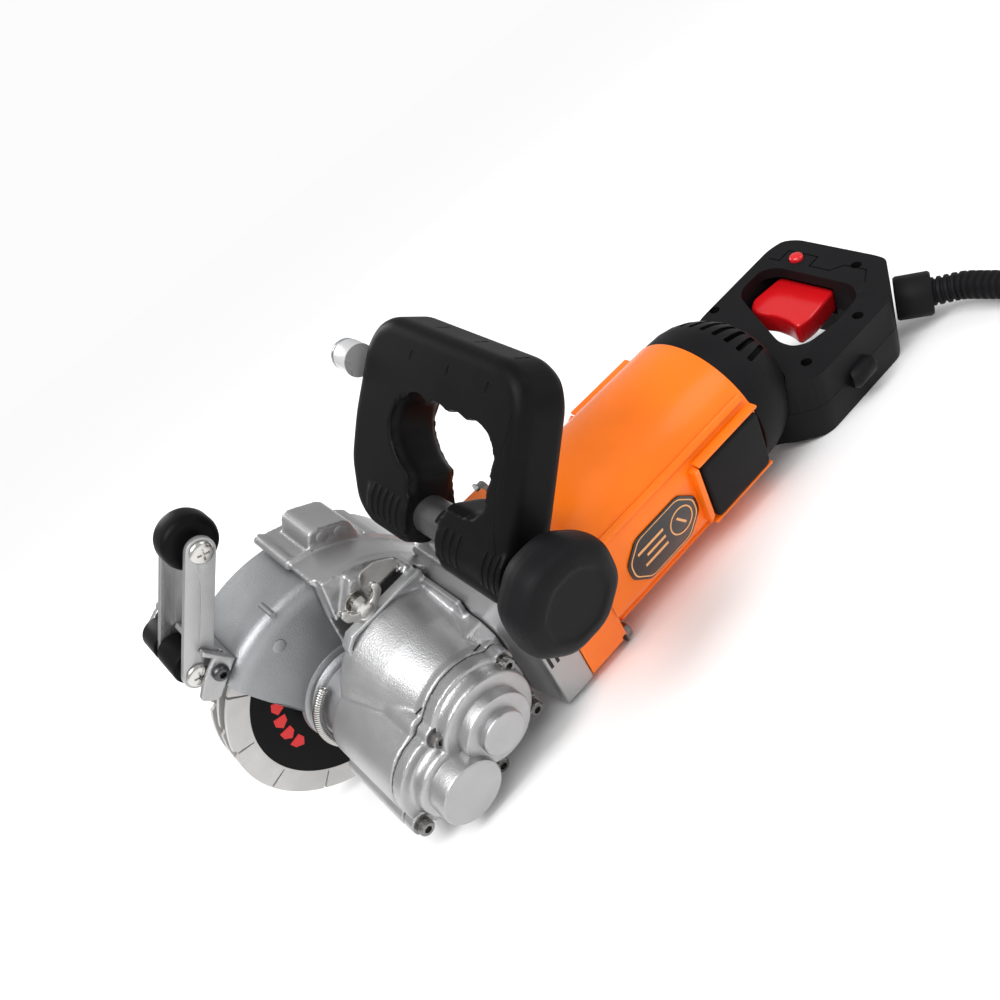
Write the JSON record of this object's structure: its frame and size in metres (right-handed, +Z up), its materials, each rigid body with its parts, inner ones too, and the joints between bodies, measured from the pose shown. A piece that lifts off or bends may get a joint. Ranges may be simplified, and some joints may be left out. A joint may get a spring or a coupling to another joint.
{
  "type": "wall chaser",
  "caption": "Slot-cutting power tool with stacked diamond blades under a hood, guide rollers, geared aluminium head, swivelling front handle and rear D-handle",
  "frame": {"origin": "centre of the footprint box on the resting surface, cord left out", "axes": "+X from the rear handle towards the blades, +Z up; the tool lies as it rests, rolled towards +Y"},
  "size_m": [0.4831, 0.4394, 0.2032],
  "materials": {
    "orange_paint": "semi-gloss orange paint",
    "label_black": "gloss printed label",
    "black_plastic": "fine-textured moulded black",
    "soft_black": "satin moulded black",
    "black_rubber": "matte",
    "roller_rubber": "satin",
    "cast_aluminium": "shot-blasted die casting",
    "guard_aluminium": "silver-grey powder coat on sheet and casting",
    "zinc_steel": "zinc plated",
    "dark_steel": "oiled",
    "blade_steel": "segmented rim, black painted centre",
    "copper": "machined",
    "red_plastic": "gloss",
    "lens": "clear"
  },
  "bodies": {
    "housing": {"field_case": "orange_paint", "label_plate": "label_black", "side_insert_near": "black_plastic", "side_insert_far": "black_plastic", "motor_end_cap": "black_plastic", "handle_shell_upper": "black_plastic", "handle_shell_lower": "black_plastic", "switch_body": "black_plastic", "stator": "dark_steel", "brush_holder_near": "copper", "brush_holder_far": "copper", "gear_head": "cast_aluminium", "gear_case": "cast_aluminium", "gear_case_cover": "cast_aluminium", "cover_screw_1": "zinc_steel", "cover_screw_2": "zinc_steel", "cover_screw_3": "zinc_steel", "cover_screw_4": "zinc_steel", "cover_screw_5": "zinc_steel", "flange_screw_1": "zinc_steel", "flange_screw_2": "zinc_steel", "flange_screw_3": "zinc_steel", "flange_screw_4": "zinc_steel", "fixed_hood": "cast_aluminium", "guard_spring": "zinc_steel", "handle_tube": "zinc_steel", "cord_sleeve": "black_rubber", "cord": "black_rubber", "cord_coil": "black_rubber", "plug": "black_plastic"},
    "armature": {"armature_shaft": "zinc_steel", "rotor_core": "dark_steel", "commutator": "copper", "fan": "black_plastic"},
    "intermediate": {"intermediate_shaft": "zinc_steel", "bevel_wheel": "dark_steel"},
    "spindle_group": {"spindle": "zinc_steel", "spur_wheel": "dark_steel", "blade_1": "blade_steel", "blade_2": "blade_steel", "blade_3": "blade_steel", "spacer_1": "dark_steel", "spacer_2": "dark_steel", "flange_nut": "zinc_steel"},
    "guard": {"moving_guard": "guard_aluminium", "guard_bar": "cast_aluminium", "bar_bolt": "dark_steel", "lower_axle": "zinc_steel"},
    "roller_frame": {"roller_arm_near": "cast_aluminium", "roller_arm_far": "cast_aluminium", "upper_axle": "zinc_steel"},
    "upper_wheel": {"upper_roller": "roller_rubber"},
    "lower_wheel": {"lower_roller": "roller_rubber"},
    "swivel_handle": {"front_handle": "soft_black", "lamp_body": "zinc_steel", "lamp_lens": "lens"},
    "knob": {"handle_knob": "black_plastic"},
    "wing": {"wing_screw": "zinc_steel"},
    "trigger_piece": {"trigger": "red_plastic"},
    "button": {"lock_button": "red_plastic"}
  },
  "joints": [
    {"name": "armature_spin", "type": "hinge", "parent": "housing", "child": "armature", "pos_m": [0.04394, -0.00318, 0.05234], "axis": [1, 0, -0.0068], "continuous": true},
    {"name": "intermediate_spin", "type": "hinge", "parent": "housing", "child": "intermediate", "pos_m": [0.12523, -0.00318, 0.05179], "axis": [-0.0025, 0.9287, -0.3708], "continuous": true},
    {"name": "spindle_spin", "type": "hinge", "parent": "housing", "child": "spindle_group", "pos_m": [0.15281, -0.06335, 0.0627], "axis": [-0.0025, 0.9287, -0.3708], "continuous": true},
    {"name": "guard_swing", "type": "hinge", "parent": "housing", "child": "guard", "pos_m": [0.15281, -0.06335, 0.0627], "axis": [0.0025, -0.9287, 0.3708], "range_deg": [0, 28], "stiffness_Nm_per_rad": 1.2, "springref_deg": -34.38},
    {"name": "roller_frame_swing", "type": "hinge", "parent": "guard", "child": "roller_frame", "pos_m": [0.20214, -0.03762, 0.12682], "axis": [0.0025, -0.9287, 0.3708], "range_deg": [-30, 15]},
    {"name": "upper_roller_spin", "type": "hinge", "parent": "roller_frame", "child": "upper_wheel", "pos_m": [0.16479, -0.03177, 0.17815], "axis": [-0.0025, 0.9287, -0.3708], "continuous": true},
    {"name": "lower_roller_spin", "type": "hinge", "parent": "guard", "child": "lower_wheel", "pos_m": [0.20221, -0.05991, 0.13572], "axis": [-0.0025, 0.9287, -0.3708], "continuous": true},
    {"name": "front_handle_swivel", "type": "hinge", "parent": "housing", "child": "swivel_handle", "pos_m": [0.07936, 0.02203, 0.11526], "axis": [0.0025, -0.9287, 0.3708], "range_deg": [-20, 20]},
    {"name": "handle_knob_turn", "type": "hinge", "parent": "housing", "child": "knob", "pos_m": [0.07917, 0.09169, 0.08745], "axis": [-0.0025, 0.9287, -0.3708], "range_deg": [-180, 180]},
    {"name": "wing_screw_turn", "type": "hinge", "parent": "housing", "child": "wing", "pos_m": [0.12829, -0.01436, 0.10469], "axis": [-0.0025, 0.9287, -0.3708], "range_deg": [-180, 180]},
    {"name": "trigger_pull", "type": "slide", "parent": "housing", "child": "trigger_piece", "axis": [-1, 0, 0.0068], "range_m": [0, 0.0052], "stiffness_N_per_m": 400, "springref_m": -0.003},
    {"name": "lock_button_press", "type": "slide", "parent": "housing", "child": "button", "axis": [-0.0063, -0.3708, -0.9287], "range_m": [0, 0.002], "stiffness_N_per_m": 60, "springref_m": -0.002}
  ],
  "couplings": [
    {"joint": "intermediate_spin", "follows": "armature_spin", "ratio": 0.33333},
    {"joint": "spindle_spin", "follows": "armature_spin", "ratio": -0.17949}
  ]
}
